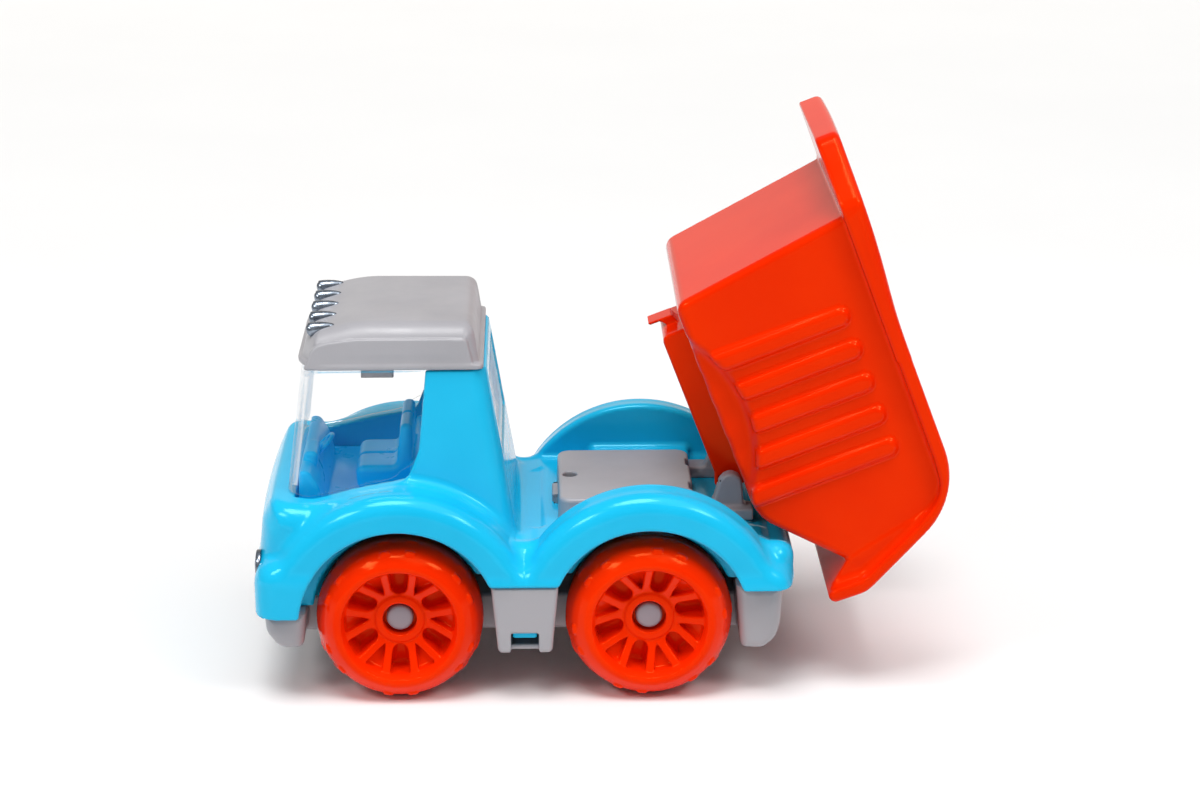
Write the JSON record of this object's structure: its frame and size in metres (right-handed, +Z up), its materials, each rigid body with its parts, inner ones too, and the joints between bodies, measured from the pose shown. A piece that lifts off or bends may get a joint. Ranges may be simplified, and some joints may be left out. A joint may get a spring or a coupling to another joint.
{
  "type": "toy dump truck",
  "caption": "Moulded toy tipper truck: rounded cab with clear windows, tipping load bed with cab guard, free-rolling spoked wheels.",
  "frame": {"origin": "middle of the footprint of the truck with its bed tipped, on the ground plane", "axes": "+X the way the truck drives, +Y its left side, +Z up"},
  "size_m": [0.3071, 0.145, 0.2505],
  "materials": {
    "blue_plastic": "glossy sky blue moulded plastic",
    "grey_plastic": "satin light grey moulded plastic",
    "bed_plastic": "glossy orange-red moulded plastic",
    "wheel_plastic": "glossy orange-red moulded plastic",
    "clear_plastic": "clear moulded plastic",
    "interior_plastic": "blue moulded plastic",
    "lamp_plastic": "silvered plastic",
    "cap_plastic": "satin grey moulded plastic",
    "steel": "plated steel"
  },
  "bodies": {
    "truck": {"chassis_base": "grey_plastic", "body_shell": "blue_plastic", "cab_roof": "grey_plastic", "cab_glazing": "clear_plastic", "rear_window": "clear_plastic", "cab_interior": "interior_plastic", "steering_wheel": "interior_plastic", "headlight_left": "lamp_plastic", "headlight_right": "lamp_plastic", "hinge_base": "grey_plastic", "hinge_base_screw": "steel", "hinge_pin_left": "steel", "hinge_pin_right": "steel", "front_axle": "steel", "rear_axle": "steel", "roof_lamp_1": "lamp_plastic", "roof_lamp_2": "lamp_plastic", "roof_lamp_3": "lamp_plastic", "roof_lamp_4": "lamp_plastic", "roof_lamp_5": "lamp_plastic", "chassis_screw_1": "steel", "chassis_screw_2": "steel", "chassis_screw_3": "steel", "chassis_screw_4": "steel", "front_left_axle_cap": "cap_plastic", "front_right_axle_cap": "cap_plastic", "rear_left_axle_cap": "cap_plastic", "rear_right_axle_cap": "cap_plastic"},
    "bed": {"dump_bed": "bed_plastic", "bed_subframe": "bed_plastic"},
    "front_left_wheel": {"front_left_wheel": "wheel_plastic"},
    "front_right_wheel": {"front_right_wheel": "wheel_plastic"},
    "rear_left_wheel": {"rear_left_wheel": "wheel_plastic"},
    "rear_right_wheel": {"rear_right_wheel": "wheel_plastic"}
  },
  "joints": [
    {"name": "bed_tilt", "type": "hinge", "parent": "truck", "child": "bed", "pos_m": [-0.05705, 0, 0.0866], "axis": [0, 1, 0], "range_deg": [0, 69]},
    {"name": "front_left_roll", "type": "hinge", "parent": "truck", "child": "front_left_wheel", "pos_m": [0.08975, 0.06, 0.0372], "axis": [0, 1, 0], "continuous": true},
    {"name": "front_right_roll", "type": "hinge", "parent": "truck", "child": "front_right_wheel", "pos_m": [0.08975, -0.06, 0.0372], "axis": [0, 1, 0], "continuous": true},
    {"name": "rear_left_roll", "type": "hinge", "parent": "truck", "child": "rear_left_wheel", "pos_m": [-0.02125, 0.06, 0.0372], "axis": [0, 1, 0], "continuous": true},
    {"name": "rear_right_roll", "type": "hinge", "parent": "truck", "child": "rear_right_wheel", "pos_m": [-0.02125, -0.06, 0.0372], "axis": [0, 1, 0], "continuous": true}
  ]
}
